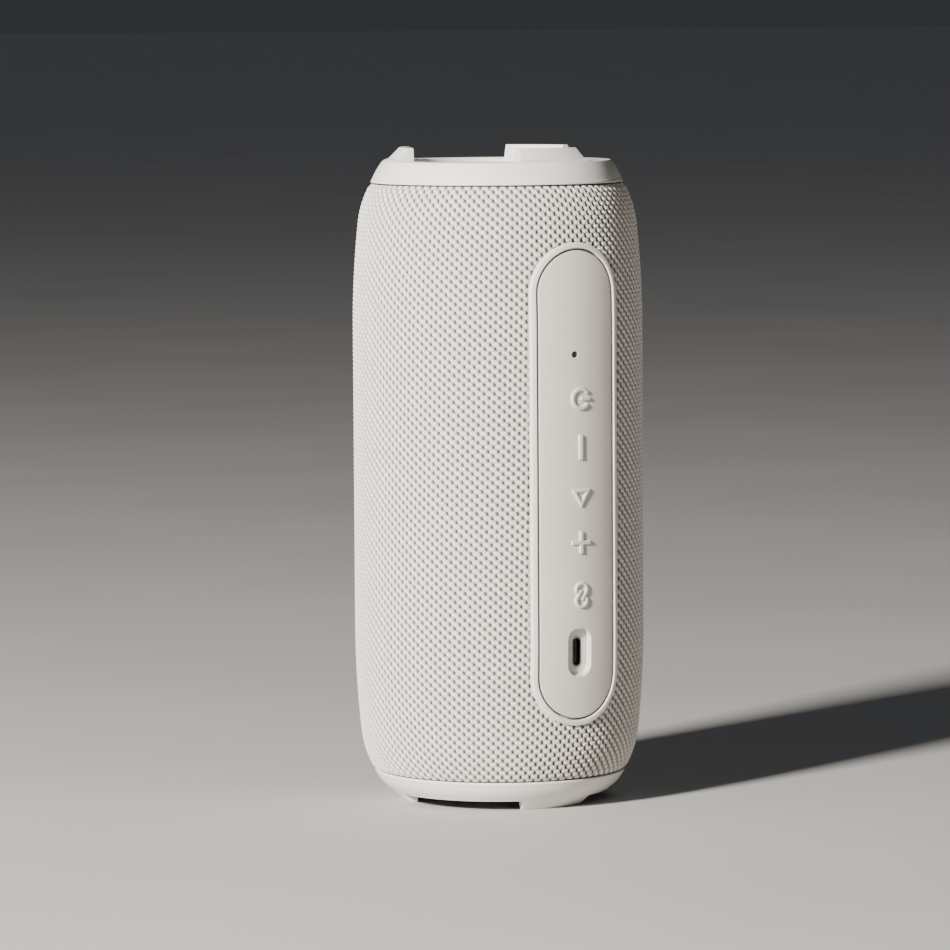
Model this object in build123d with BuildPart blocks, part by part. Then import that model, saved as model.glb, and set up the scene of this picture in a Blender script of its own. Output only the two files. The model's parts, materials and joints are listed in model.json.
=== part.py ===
from build123d import *
from functools import partial
from math import asin, cos, degrees, radians, sin
import os

os.makedirs("parts", exist_ok=True)

# A portable bluetooth speaker: a fabric-covered barrel that stands on one end.
# Millimetres. +Z is up, the control panel faces -Y and the two drivers fire towards -X.
# The origin is on the axis, in the plane of the feet.

# ---------------------------------------------------------------- driving dimensions
BARREL_RADIUS = 44.0  # fabric face at the waist
LOWER_SEAM = 9.4  # where the fabric meets the lower end ring
UPPER_SEAM = 187.8  # where the fabric meets the upper end ring
MIDDLE = (LOWER_SEAM + UPPER_SEAM) / 2
HALF_BARREL = (UPPER_SEAM - LOWER_SEAM) / 2

# The barrel's side is straight at the waist, then a long shoulder arc, then a tight roll.
TAPER_LENGTH = 44.0
SHOULDER_LENGTH = 32.0
SHOULDER_RADIUS = 300.0
ROLL_RADIUS = 30.6
STRAIGHT_HALF = HALF_BARREL - TAPER_LENGTH
SHOULDER_TURN = degrees(asin(SHOULDER_LENGTH / SHOULDER_RADIUS))
SHOULDER_X = BARREL_RADIUS - SHOULDER_RADIUS
ROLL_X = SHOULDER_X + (SHOULDER_RADIUS - ROLL_RADIUS) * cos(radians(SHOULDER_TURN))
ROLL_Z = STRAIGHT_HALF + (SHOULDER_RADIUS - ROLL_RADIUS) * sin(radians(SHOULDER_TURN))

# Depths below the fabric face.
FABRIC_THICKNESS = 0.8
SHELL_OUTER = 0.85
SHELL_INNER = 3.05
SEAM_GAP = 0.35  # shadow line between the fabric and each end ring

# The housing is split along its length: the front grille and the rest.
GRILLE_START = 120.0
GRILLE_SWEEP = 120.0
GRILLE_SLOT = (18.0, 3.0)
GRILLE_COLUMNS = 13
GRILLE_ROWS = 5

# End rings: each has a bore, three lugs and a spigot that goes into the housing.
RING_BORE = 27.4
SPIGOT_RADIUS = 34.6
SPIGOT_DEPTH = 3.0
LUG_SWEEP = 44.0
LUG_ANGLES = (270.0, 30.0, 150.0)
LUG_FOOT = 33.3
LUG_TOP = 29.5
END_RINGS = {
    "top": dict(
        seam=UPPER_SEAM, outward=1, height=6.8, lug=4.0, wall=((38.3, 0), (37.1, 3.2), (35.1, 6.4))
    ),
    "bottom": dict(
        seam=LOWER_SEAM, outward=-1, height=6.3, lug=3.1, wall=((38.2, 0), (36.5, 3.4), (34.0, 6.0))
    ),
}

# Passive radiators, measured outward from the seam.
PASSIVE_PLATE_RADIUS = 18.4
PASSIVE_PLATE_TOP = 0.4
PASSIVE_ROLL_CENTRE = 21.9
PASSIVE_ROLL_RADIUS = 3.1
PASSIVE_SKIN = 0.6
PASSIVE_FRAME_INNER = 24.8
PASSIVE_FRAME_OUTER = 33.0
PASSIVE_FRAME_THICKNESS = 2.0
PASSIVE_SCREW_CIRCLE = 30.6

# Control panel. Lengths run along Z and widths along X, in straight projection from -Y.
BEZEL_LENGTH = 144.6
BEZEL_WIDTH = 30.8
BEZEL_BAND = 1.75
BEZEL_COLLAR_STEP = 1.0  # the collar behind the band is this much smaller all round
BEZEL_PROUD = 0.45
PAD_GAP = 0.5
PAD_THICKNESS = 1.8
MARK_PROUD = 0.55
MARK_OFFSET = 0.5  # the marks sit slightly to the right of the panel's centre line
BUTTON_HEIGHTS = {"power": 124.4, "minus": 109.9, "play": 94.8, "plus": 81.4, "link": 65.7}
KEY_RADIUS = 5.9
KEY_CLEARANCE = 0.1
KEY_FLANGE_RADIUS = 6.6
MIC_HEIGHT = 137.6
MIC_X = -1.4
MIC_HOLE_RADIUS = 0.9
USB_HEIGHT = 48.5
USB_RECESS = (8.0, 14.2)
USB_RECESS_CORNER = 3.4
USB_SHELL = (3.2, 9.0)
USB_WALL = 0.3
USB_SHELL_DEPTH = 5.8
USB_TONGUE = (0.7, 6.7)
USB_TONGUE_DEPTH = 4.9

# Cuts through the panel start between the battery and the panel and end outside the barrel.
PANEL_CUT_START = 30.0
PANEL_CUT_LENGTH = 20.0

# Planes of the stack behind the panel, as distances from the axis towards -Y.
TRAY_OUTER = 1.85
TRAY_STEP = 3.1
TRAY_INNER = 4.6
KEY_FLANGE_PLANE = 40.95
KEY_FLANGE_THICKNESS = 0.55
POCKET_FLOOR = 40.4
STEM_END = 39.4
SWITCH_FACE = 38.9
BOARD_FACE = 36.3
BUTTON_BOARD_THICKNESS = 1.2
BUTTON_BOARD_SIZE = (24.0, 108.0)
BUTTON_BOARD_HEIGHT = 91.0
POST_HEIGHTS = (130.5, 101.8, 73.0, 42.0)
POST_X = 9.6
POST_RADIUS = 2.0
POST_LENGTH = 3.2
STEM_RADIUS = 1.5
SWITCH_SIZE = 6.0
MIC_RADIUS = 2.0
MIC_THICKNESS = 1.2
MIC_GASKET_THICKNESS = 1.6

# Drivers, baffle, battery and main board.
BAFFLE_FACE = -25.0
BAFFLE_THICKNESS = 3.0
BAFFLE_SIZE = (63.0, 124.0)
DRIVER_SPACING = 66.0
DRIVER_HEIGHTS = {"upper": MIDDLE + DRIVER_SPACING / 2, "lower": MIDDLE - DRIVER_SPACING / 2}
DRIVER_FLANGE = 47.0
DRIVER_SCREW_OFFSET = 19.5
DRIVER_FLANGE_THICKNESS = 1.6
DRIVER_CUTOUT = 23.2
CELL_RADIUS = 9.2
CELL_LENGTH = 65.0
CELL_X = 18.0
CELL_Y = 10.0
CRADLE_PLATE = (2.0, 54.0, 71.2)
CRADLE_BACK = 28.0
CRADLE_SHELF = (19.0, 40.0, 3.0)
MAIN_BOARD = (30.0, 1.6, 100.0)
MAIN_BOARD_Y = 30.0
LEAD_RADIUS = 0.7
RIBBON_HEIGHT = 54.0

# Screws, all pan head. Pilot holes leave a hair of clearance.
SCREW_RADIUS = 0.8
PILOT_CLEARANCE = 0.02
HEAD_RADIUS = 1.7
HEAD_HEIGHT = 1.0


# ---------------------------------------------------------------- shared shapes
def save(piece, label):
    """Label a finished piece and write it out."""
    piece.part.label = label
    export_step(piece.part, f"parts/{label}.step")


def radial_plane(angle, height, outward=1):
    """Plane through the Z axis: local x points away from the axis, local y up or down."""
    x_dir = Vector(cos(radians(angle)), sin(radians(angle)), 0)
    return Plane(origin=(0, 0, height), x_dir=x_dir, z_dir=x_dir.cross(Vector(0, 0, outward)))


def panel_plane(distance, height=MIDDLE, x=0.0):
    """Plane facing -Y at a distance from the axis."""
    return Plane(origin=(x, -distance, height), x_dir=(1, 0, 0), z_dir=(0, -1, 0))


def barrel_side(inset, reach):
    """Draw the barrel's side, inset from the fabric face, and return its radius at the ends."""
    roll_end = degrees(asin((reach - ROLL_Z) / (ROLL_RADIUS - inset)))
    Line((BARREL_RADIUS - inset, -STRAIGHT_HALF), (BARREL_RADIUS - inset, STRAIGHT_HALF))
    for side in (1, -1):
        CenterArc(
            (SHOULDER_X, side * STRAIGHT_HALF), SHOULDER_RADIUS - inset, 0, side * SHOULDER_TURN
        )
        CenterArc(
            (ROLL_X, side * ROLL_Z),
            ROLL_RADIUS - inset,
            side * SHOULDER_TURN,
            side * (roll_end - SHOULDER_TURN),
        )
    return ROLL_X + (ROLL_RADIUS - inset) * cos(radians(roll_end))


def shell_section(outer_inset, inner_inset, reach):
    """Half section of a shell that follows the barrel between two insets."""
    with BuildLine() as outline:
        outer_end = barrel_side(outer_inset, reach)
        inner_end = barrel_side(inner_inset, reach)
        for side in (1, -1):
            Line((outer_end, side * reach), (inner_end, side * reach))
    make_face(outline.edges())


def solid_section(inset, reach):
    """Half section of the whole barrel, filled to its axis."""
    with BuildLine() as outline:
        end = barrel_side(inset, reach)
        Polyline((end, reach), (0, reach), (0, -reach), (end, -reach))
    make_face(outline.edges())


def stadium(length, width):
    """Upright slot shape with round ends."""
    SlotOverall(length, width, rotation=90)


def panel_slab(outer_inset, inner_inset, outline, plane):
    """Piece of a shell that follows the barrel, with an outline seen from -Y."""
    with BuildPart() as slab:
        with BuildSketch(radial_plane(240, MIDDLE)):
            shell_section(outer_inset, inner_inset, HALF_BARREL - 8)
        revolve(axis=Axis.Z, revolution_arc=60)
        with BuildSketch(plane):
            outline()
        extrude(amount=PANEL_CUT_LENGTH, mode=Mode.INTERSECT)
    return slab.part


def turned_piece(points, axis=Axis.Z, plane=Plane.XZ):
    """Turn a closed polygon of (radius, height) points about an axis."""
    with BuildSketch(plane) as section:
        with BuildLine():
            Polyline(*points, close=True)
        make_face()
    revolve(section.sketch, axis=axis)


def screws(positions, direction, shank_length, radius=SCREW_RADIUS):
    """Pan-head screws whose heads sit at the given positions and shanks run along direction."""
    for position in positions:
        with BuildSketch(Plane(origin=position, z_dir=direction)) as shank:
            Circle(radius)
        extrude(shank.sketch, amount=shank_length)
        with BuildSketch(Plane(origin=position, z_dir=direction)) as head:
            Circle(HEAD_RADIUS)
        extrude(head.sketch, amount=-HEAD_HEIGHT)


def screw_holes(positions, direction, depth, clearance=PILOT_CLEARANCE, radius=SCREW_RADIUS):
    """Round holes for a set of screws."""
    for position in positions:
        with BuildSketch(Plane(origin=position, z_dir=direction)) as hole:
            Circle(radius + clearance)
        extrude(hole.sketch, amount=depth, mode=Mode.SUBTRACT)


# ---------------------------------------------------------------- button marks
def power_mark():
    """Open ring with a bar through its gap, turned a quarter to the right."""
    Circle(3.65)
    Circle(2.45, mode=Mode.SUBTRACT)
    with Locations((2.5, 0)):
        Rectangle(5.0, 3.6, mode=Mode.SUBTRACT)
    with Locations((1.9, 0)):
        Rectangle(3.5, 1.2)


def minus_mark():
    Rectangle(1.6, 7.5)


def play_mark():
    """Outlined triangle that points down."""
    Polygon((-3.7, 2.85), (3.7, 2.85), (0, -3.1), align=None)
    offset(amount=-1.05, mode=Mode.SUBTRACT)


def plus_mark():
    Rectangle(1.45, 7.4)
    Rectangle(7.4, 1.45)


def link_mark():
    """Two open hooks, one turned half round from the other, whose slanted ends run side by side."""
    for side in (1, -1):
        with Locations((0, side * 1.6)):
            Circle(2.6)
            Circle(1.5, mode=Mode.SUBTRACT)
    Rectangle(5.4, 2.1, mode=Mode.SUBTRACT)
    for side in (1, -1):
        with Locations((side * 1.2, side * -0.1)):
            SlotCenterToCenter(2.8, 1.1, rotation=57)
        with Locations((side * -1.98, side * 1.07)):
            Circle(0.55)


BUTTON_MARKS = {
    "power": power_mark,
    "minus": minus_mark,
    "play": play_mark,
    "plus": plus_mark,
    "link": link_mark,
}

# ---------------------------------------------------------------- fabric sleeve
with BuildPart() as fabric_sleeve:
    with BuildSketch(radial_plane(0, MIDDLE)):
        shell_section(0, FABRIC_THICKNESS, HALF_BARREL - SEAM_GAP)
    revolve(axis=Axis.Z)
    with BuildSketch(panel_plane(PANEL_CUT_START)):
        stadium(BEZEL_LENGTH + 0.2, BEZEL_WIDTH + 0.2)
    extrude(amount=PANEL_CUT_LENGTH, mode=Mode.SUBTRACT)
save(fabric_sleeve, "fabric_sleeve")

# ---------------------------------------------------------------- front grille
with BuildPart() as front_grille:
    with BuildSketch(radial_plane(GRILLE_START, MIDDLE)):
        shell_section(SHELL_OUTER, SHELL_INNER, HALF_BARREL)
    revolve(axis=Axis.Z, revolution_arc=GRILLE_SWEEP)
    column_step = GRILLE_SWEEP / (GRILLE_COLUMNS + 2)
    for column in range(GRILLE_COLUMNS):
        angle = radians(GRILLE_START + (column + 1.5) * column_step)
        outward = Vector(cos(angle), sin(angle), 0)
        with BuildSketch(Plane(origin=(0, 0, MIDDLE), x_dir=(0, 0, 1), z_dir=outward)):
            with GridLocations(GRILLE_SLOT[0] + 6, 1, GRILLE_ROWS, 1):
                SlotOverall(*GRILLE_SLOT)
        extrude(amount=BARREL_RADIUS + 2, mode=Mode.SUBTRACT)
save(front_grille, "front_grille")

# ---------------------------------------------------------------- main housing
collar_size = (BEZEL_LENGTH - 2 * BEZEL_COLLAR_STEP, BEZEL_WIDTH - 2 * BEZEL_COLLAR_STEP)
baffle_rib = (3.0, 8.5, BAFFLE_SIZE[1])
baffle_back = BAFFLE_FACE + BAFFLE_THICKNESS
baffle_screw_spots = [
    (BAFFLE_FACE, y, MIDDLE + z) for y in (-29.8, 29.8) for z in (-52.0, 0.0, 52.0)
]
cradle_screw_spots = [
    (CRADLE_BACK, y, MIDDLE + z) for y in (-24.0, 24.0) for z in (-28.0, 28.0)
]
board_screw_spots = [
    (x, MAIN_BOARD_Y, MIDDLE + z) for x in (-12.0, 12.0) for z in (-45.0, 45.0)
]
panel_screw_spots = [(x, -36.6, MIDDLE + z) for x in (-15.8, 15.8) for z in (-45.0, 0.0, 45.0)]

with BuildPart() as main_housing:
    for side in (1, -1):
        with Locations((baffle_back + baffle_rib[0] / 2, side * 32.2, MIDDLE)):
            Box(*baffle_rib)
    for _, y, z in cradle_screw_spots:
        with BuildSketch(Plane.YZ.offset(CRADLE_BACK + CRADLE_PLATE[0])):
            with Locations((y, z)):
                Circle(3.0)
        extrude(amount=12)
    for x, _, z in board_screw_spots:
        with BuildSketch(Plane.XZ.offset(-(MAIN_BOARD_Y + MAIN_BOARD[1]))):
            with Locations((x, z)):
                Circle(2.6)
        extrude(amount=-12)
    with BuildSketch(radial_plane(0, MIDDLE)):
        solid_section((SHELL_OUTER + SHELL_INNER) / 2, HALF_BARREL)
    revolve(axis=Axis.Z, mode=Mode.INTERSECT)
    with BuildSketch(radial_plane(GRILLE_START, MIDDLE)):
        shell_section(0, SHELL_INNER + 0.1, HALF_BARREL)
    revolve(axis=Axis.Z, revolution_arc=GRILLE_SWEEP, mode=Mode.SUBTRACT)
    with BuildSketch(radial_plane(GRILLE_START + GRILLE_SWEEP, MIDDLE)):
        shell_section(SHELL_OUTER, SHELL_INNER, HALF_BARREL)
    revolve(axis=Axis.Z, revolution_arc=360 - GRILLE_SWEEP)
    with BuildSketch(panel_plane(PANEL_CUT_START)):
        stadium(collar_size[0] + 0.2, collar_size[1] + 0.2)
    extrude(amount=PANEL_CUT_LENGTH, mode=Mode.SUBTRACT)
    screw_holes(baffle_screw_spots, (1, 0, 0), 6.0)
    screw_holes(cradle_screw_spots, (1, 0, 0), 6.0)
    screw_holes(board_screw_spots, (0, 1, 0), 8.0)
    screw_holes(panel_screw_spots, (0, -1, 0), 3.0)
save(main_housing, "main_housing")


# ---------------------------------------------------------------- end rings and passive radiators
def passive_screw_spots(seam, outward):
    """Where the four screws of a radiator frame have their heads, under the frame."""
    height = seam - outward * (SPIGOT_DEPTH + PASSIVE_SKIN + PASSIVE_FRAME_THICKNESS)
    quarter = [radians(45 + 90 * turn) for turn in range(4)]
    circle = PASSIVE_SCREW_CIRCLE
    return [(circle * cos(turn), circle * sin(turn), height) for turn in quarter]


for end, ring in END_RINGS.items():
    seam, outward, rim = ring["seam"], ring["outward"], ring["height"]
    wall_foot, wall_middle, wall_top = ring["wall"]
    section = radial_plane(0, seam, outward)
    spots = passive_screw_spots(seam, outward)
    skin_low = -SPIGOT_DEPTH - PASSIVE_SKIN
    frame_low = skin_low - PASSIVE_FRAME_THICKNESS

    with BuildPart() as end_ring:
        with BuildSketch(section):
            with BuildLine():
                ThreePointArc(wall_foot, wall_middle, wall_top)
                Polyline(
                    wall_top,
                    (wall_top[0] - 0.5, rim),
                    (RING_BORE + 0.5, rim),
                    (RING_BORE, rim - 0.5),
                    (RING_BORE, -SPIGOT_DEPTH),
                    (SPIGOT_RADIUS, -SPIGOT_DEPTH),
                    (SPIGOT_RADIUS, 0),
                    wall_foot,
                )
            make_face()
        revolve(axis=Axis.Z)
        for lug_angle in LUG_ANGLES:
            with BuildSketch(radial_plane(lug_angle - LUG_SWEEP / 2, seam, outward)):
                with BuildLine():
                    Polyline(
                        (RING_BORE + 0.1, rim - 1.0),
                        (LUG_FOOT, rim - 1.0),
                        (LUG_FOOT, rim),
                        (LUG_TOP + 0.4, rim + ring["lug"] - 0.4),
                        (LUG_TOP - 0.2, rim + ring["lug"]),
                        (RING_BORE + 0.4, rim + ring["lug"]),
                        (RING_BORE + 0.1, rim + ring["lug"] - 0.3),
                        close=True,
                    )
                make_face()
            revolve(axis=Axis.Z, revolution_arc=LUG_SWEEP)
        screw_holes(spots, (0, 0, outward), 8.0)
    save(end_ring, f"end_ring_{end}")

    with BuildPart() as end_gasket:
        turned_piece(
            [
                (PASSIVE_FRAME_OUTER - 5.0, skin_low),
                (PASSIVE_FRAME_OUTER, skin_low),
                (PASSIVE_FRAME_OUTER, -SPIGOT_DEPTH),
                (PASSIVE_FRAME_OUTER - 5.0, -SPIGOT_DEPTH),
            ],
            plane=section,
        )
        screw_holes(spots, (0, 0, outward), 8.0, clearance=0.1)
    save(end_gasket, f"end_gasket_{end}")

    with BuildPart() as passive_frame:
        turned_piece(
            [
                (PASSIVE_FRAME_INNER, frame_low),
                (PASSIVE_FRAME_OUTER, frame_low),
                (PASSIVE_FRAME_OUTER, skin_low),
                (PASSIVE_FRAME_INNER, skin_low),
            ],
            plane=section,
        )
        screw_holes(spots, (0, 0, outward), 8.0, clearance=0.1)
    save(passive_frame, f"passive_frame_{end}")

    with BuildPart() as passive_surround:
        with BuildSketch(section):
            with BuildLine():
                CenterArc((PASSIVE_ROLL_CENTRE, -SPIGOT_DEPTH), PASSIVE_ROLL_RADIUS, 0, 180)
                Polyline(
                    (PASSIVE_ROLL_CENTRE - PASSIVE_ROLL_RADIUS, -SPIGOT_DEPTH),
                    (PASSIVE_PLATE_RADIUS - 2.4, -SPIGOT_DEPTH),
                    (PASSIVE_PLATE_RADIUS - 2.4, skin_low),
                    (PASSIVE_ROLL_CENTRE - PASSIVE_ROLL_RADIUS + PASSIVE_SKIN, skin_low),
                    (PASSIVE_ROLL_CENTRE - PASSIVE_ROLL_RADIUS + PASSIVE_SKIN, -SPIGOT_DEPTH),
                )
                CenterArc(
                    (PASSIVE_ROLL_CENTRE, -SPIGOT_DEPTH), PASSIVE_ROLL_RADIUS - PASSIVE_SKIN, 0, 180
                )
                Polyline(
                    (PASSIVE_ROLL_CENTRE + PASSIVE_ROLL_RADIUS - PASSIVE_SKIN, -SPIGOT_DEPTH),
                    (PASSIVE_ROLL_CENTRE + PASSIVE_ROLL_RADIUS - PASSIVE_SKIN, skin_low),
                    (PASSIVE_FRAME_OUTER - 5.1, skin_low),
                    (PASSIVE_FRAME_OUTER - 5.1, -SPIGOT_DEPTH),
                    (PASSIVE_ROLL_CENTRE + PASSIVE_ROLL_RADIUS, -SPIGOT_DEPTH),
                )
            make_face()
        revolve(axis=Axis.Z)
    save(passive_surround, f"passive_surround_{end}")

    with BuildPart() as passive_plate:
        turned_piece(
            [
                (0, -SPIGOT_DEPTH),
                (PASSIVE_PLATE_RADIUS - 0.4, -SPIGOT_DEPTH),
                (PASSIVE_PLATE_RADIUS - 0.4, PASSIVE_PLATE_TOP - 0.6),
                (PASSIVE_PLATE_RADIUS - 1.2, PASSIVE_PLATE_TOP),
                (0, PASSIVE_PLATE_TOP),
            ],
            plane=section,
        )
    save(passive_plate, f"passive_plate_{end}")

with BuildPart() as passive_screws:
    for ring in END_RINGS.values():
        spots = passive_screw_spots(ring["seam"], ring["outward"])
        screws(spots, (0, 0, ring["outward"]), 7.0)
save(passive_screws, "passive_screws")

# ---------------------------------------------------------------- control panel: bezel, pad and tray
panel_face = panel_plane(PANEL_CUT_START)
bezel_opening = (BEZEL_LENGTH - 2 * BEZEL_BAND, BEZEL_WIDTH - 2 * BEZEL_BAND)
pad_size = (bezel_opening[0] - 2 * PAD_GAP, bezel_opening[1] - 2 * PAD_GAP)
tray_size = (bezel_opening[0] - 0.2, bezel_opening[1] - 0.2)
tray_flange = (BEZEL_LENGTH + 3, BEZEL_WIDTH + 3.2)

bezel_band = panel_slab(
    -BEZEL_PROUD, SHELL_OUTER - 0.05, partial(stadium, BEZEL_LENGTH, BEZEL_WIDTH), panel_face
)
bezel_collar = panel_slab(-BEZEL_PROUD, SHELL_INNER, partial(stadium, *collar_size), panel_face)
with BuildPart() as panel_bezel:
    add(bezel_band)
    add(bezel_collar)
    with BuildSketch(panel_face):
        stadium(*bezel_opening)
    extrude(amount=PANEL_CUT_LENGTH, mode=Mode.SUBTRACT)
save(panel_bezel, "panel_bezel")

pad_sheet = panel_slab(0, PAD_THICKNESS, partial(stadium, *pad_size), panel_face)
with BuildPart() as control_pad:
    add(pad_sheet)
    for height in BUTTON_HEIGHTS.values():
        with BuildSketch(panel_plane(PANEL_CUT_START, height, MARK_OFFSET)):
            Circle(KEY_RADIUS + KEY_CLEARANCE)
        extrude(amount=PANEL_CUT_LENGTH, mode=Mode.SUBTRACT)
    with BuildSketch(panel_plane(PANEL_CUT_START, USB_HEIGHT)):
        RectangleRounded(*USB_RECESS, radius=USB_RECESS_CORNER)
    extrude(amount=PANEL_CUT_LENGTH, mode=Mode.SUBTRACT)
    with BuildSketch(panel_plane(PANEL_CUT_START, MIC_HEIGHT, MIC_X)):
        Circle(MIC_HOLE_RADIUS)
    extrude(amount=PANEL_CUT_LENGTH, mode=Mode.SUBTRACT)
save(control_pad, "control_pad")

tray_face = panel_slab(TRAY_OUTER, TRAY_INNER, partial(stadium, *tray_size), panel_face)
tray_back = panel_slab(TRAY_STEP, TRAY_INNER, partial(stadium, *tray_flange), panel_face)
post_spots = [(x, -BOARD_FACE, z) for x in (-POST_X, POST_X) for z in POST_HEIGHTS]
with BuildPart() as panel_tray:
    add(tray_face)
    add(tray_back)
    for x, _, z in post_spots:
        with BuildSketch(panel_plane(BOARD_FACE, z, x)):
            Circle(POST_RADIUS)
        extrude(amount=POST_LENGTH)
    for height in BUTTON_HEIGHTS.values():
        with BuildSketch(panel_plane(POCKET_FLOOR, height, MARK_OFFSET)):
            Circle(KEY_FLANGE_RADIUS + 0.15)
        extrude(amount=5, mode=Mode.SUBTRACT)
        with BuildSketch(panel_plane(PANEL_CUT_START, height, MARK_OFFSET)):
            Circle(STEM_RADIUS + 0.1)
        extrude(amount=PANEL_CUT_LENGTH, mode=Mode.SUBTRACT)
    with BuildSketch(panel_plane(PANEL_CUT_START, USB_HEIGHT)):
        RectangleRounded(USB_SHELL[0] + 0.2, USB_SHELL[1] + 0.2, radius=1.6)
    extrude(amount=PANEL_CUT_LENGTH, mode=Mode.SUBTRACT)
    with BuildSketch(panel_plane(PANEL_CUT_START, MIC_HEIGHT, MIC_X)):
        Circle(MIC_HOLE_RADIUS)
    extrude(amount=PANEL_CUT_LENGTH, mode=Mode.SUBTRACT)
    screw_holes(post_spots, (0, -1, 0), 2.8)
    screw_holes(panel_screw_spots, (0, -1, 0), 6.0, clearance=0.1)
    screw_holes(panel_screw_spots, (0, 1, 0), 6.0, clearance=HEAD_RADIUS - SCREW_RADIUS + 0.1)
save(panel_tray, "panel_tray")

with BuildPart() as panel_screws:
    screws(panel_screw_spots, (0, -1, 0), 2.8)
save(panel_screws, "panel_screws")

# ---------------------------------------------------------------- buttons and their switches
for button, height in BUTTON_HEIGHTS.items():
    face_plane = panel_plane(PANEL_CUT_START, height, MARK_OFFSET)
    key_disc = panel_slab(0, PAD_THICKNESS - 0.1, partial(Circle, KEY_RADIUS), face_plane)
    key_mark = panel_slab(-MARK_PROUD, PAD_THICKNESS - 0.1, BUTTON_MARKS[button], face_plane)
    with BuildPart() as key:
        add(key_disc)
        add(key_mark)
        with BuildSketch(panel_plane(KEY_FLANGE_PLANE, height, MARK_OFFSET)):
            Circle(KEY_FLANGE_RADIUS)
        extrude(amount=KEY_FLANGE_THICKNESS)
        with BuildSketch(panel_plane(KEY_FLANGE_PLANE, height, MARK_OFFSET)):
            Circle(KEY_RADIUS - 0.5)
        extrude(amount=1.6)
        with BuildSketch(panel_plane(STEM_END, height, MARK_OFFSET)):
            Circle(STEM_RADIUS)
        extrude(amount=KEY_FLANGE_PLANE + KEY_FLANGE_THICKNESS - STEM_END)
    save(key, f"button_{button}")

    with BuildPart() as plunger:
        with BuildSketch(panel_plane(STEM_END, height, MARK_OFFSET)):
            Circle(STEM_RADIUS + 0.1)
        extrude(amount=-1.8)
    save(plunger, f"switch_plunger_{button}")

with BuildPart() as switch_bodies:
    for height in BUTTON_HEIGHTS.values():
        with BuildSketch(panel_plane(BOARD_FACE, height, MARK_OFFSET)):
            RectangleRounded(SWITCH_SIZE, SWITCH_SIZE, radius=0.6)
        extrude(amount=SWITCH_FACE - BOARD_FACE)
        with BuildSketch(panel_plane(SWITCH_FACE, height, MARK_OFFSET)):
            Circle(STEM_RADIUS + 0.2)
        extrude(amount=-1.9, mode=Mode.SUBTRACT)
save(switch_bodies, "switch_bodies")

# ---------------------------------------------------------------- button board, charging port, microphone
board_back = BOARD_FACE - BUTTON_BOARD_THICKNESS
button_board_spots = [(x, -board_back, z) for x, _, z in post_spots]
with BuildPart() as button_board:
    with BuildSketch(panel_plane(board_back, BUTTON_BOARD_HEIGHT)):
        RectangleRounded(*BUTTON_BOARD_SIZE, radius=2.0)
    extrude(amount=BUTTON_BOARD_THICKNESS)
    screw_holes(button_board_spots, (0, -1, 0), 3.0, clearance=0.1)
save(button_board, "button_board")

with BuildPart() as button_board_screws:
    screws(button_board_spots, (0, -1, 0), 3.4)
save(button_board_screws, "button_board_screws")

with BuildPart() as usb_shell:
    with BuildSketch(panel_plane(BOARD_FACE, USB_HEIGHT)):
        RectangleRounded(*USB_SHELL, radius=1.5)
    extrude(amount=USB_SHELL_DEPTH)
    with BuildSketch(panel_plane(BOARD_FACE + USB_WALL, USB_HEIGHT)):
        RectangleRounded(USB_SHELL[0] - 2 * USB_WALL, USB_SHELL[1] - 2 * USB_WALL, radius=1.2)
    extrude(amount=USB_SHELL_DEPTH, mode=Mode.SUBTRACT)
save(usb_shell, "usb_shell")

with BuildPart() as usb_tongue:
    with BuildSketch(panel_plane(BOARD_FACE + USB_WALL, USB_HEIGHT)):
        RectangleRounded(*USB_TONGUE, radius=0.3)
    extrude(amount=USB_TONGUE_DEPTH)
save(usb_tongue, "usb_tongue")

with BuildPart() as microphone:
    with BuildSketch(panel_plane(BOARD_FACE, MIC_HEIGHT, MIC_X)):
        Circle(MIC_RADIUS)
    extrude(amount=MIC_THICKNESS)
save(microphone, "microphone")

with BuildPart() as microphone_gasket:
    with BuildSketch(panel_plane(BOARD_FACE + MIC_THICKNESS, MIC_HEIGHT, MIC_X)):
        Circle(MIC_RADIUS)
        Circle(0.8, mode=Mode.SUBTRACT)
    extrude(amount=MIC_GASKET_THICKNESS)
save(microphone_gasket, "microphone_gasket")

# ---------------------------------------------------------------- baffle and drivers
driver_spots = [
    (BAFFLE_FACE - DRIVER_FLANGE_THICKNESS, y, height + z)
    for height in DRIVER_HEIGHTS.values()
    for y in (-DRIVER_SCREW_OFFSET, DRIVER_SCREW_OFFSET)
    for z in (-DRIVER_SCREW_OFFSET, DRIVER_SCREW_OFFSET)
]
with BuildPart() as driver_baffle:
    with BuildSketch(Plane.YZ.offset(BAFFLE_FACE)):
        with Locations((0, MIDDLE)):
            RectangleRounded(*BAFFLE_SIZE, radius=3.0)
        with Locations(*[(0, height) for height in DRIVER_HEIGHTS.values()]):
            Circle(DRIVER_CUTOUT, mode=Mode.SUBTRACT)
    extrude(amount=BAFFLE_THICKNESS)
    screw_holes(driver_spots, (1, 0, 0), 10.0)
    screw_holes(baffle_screw_spots, (1, 0, 0), 10.0, clearance=0.1)
save(driver_baffle, "driver_baffle")

with BuildPart() as baffle_screws:
    screws(baffle_screw_spots, (1, 0, 0), 8.0)
save(baffle_screws, "baffle_screws")

with BuildPart() as driver_screws:
    screws(driver_spots, (1, 0, 0), 4.4)
save(driver_screws, "driver_screws")

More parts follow.
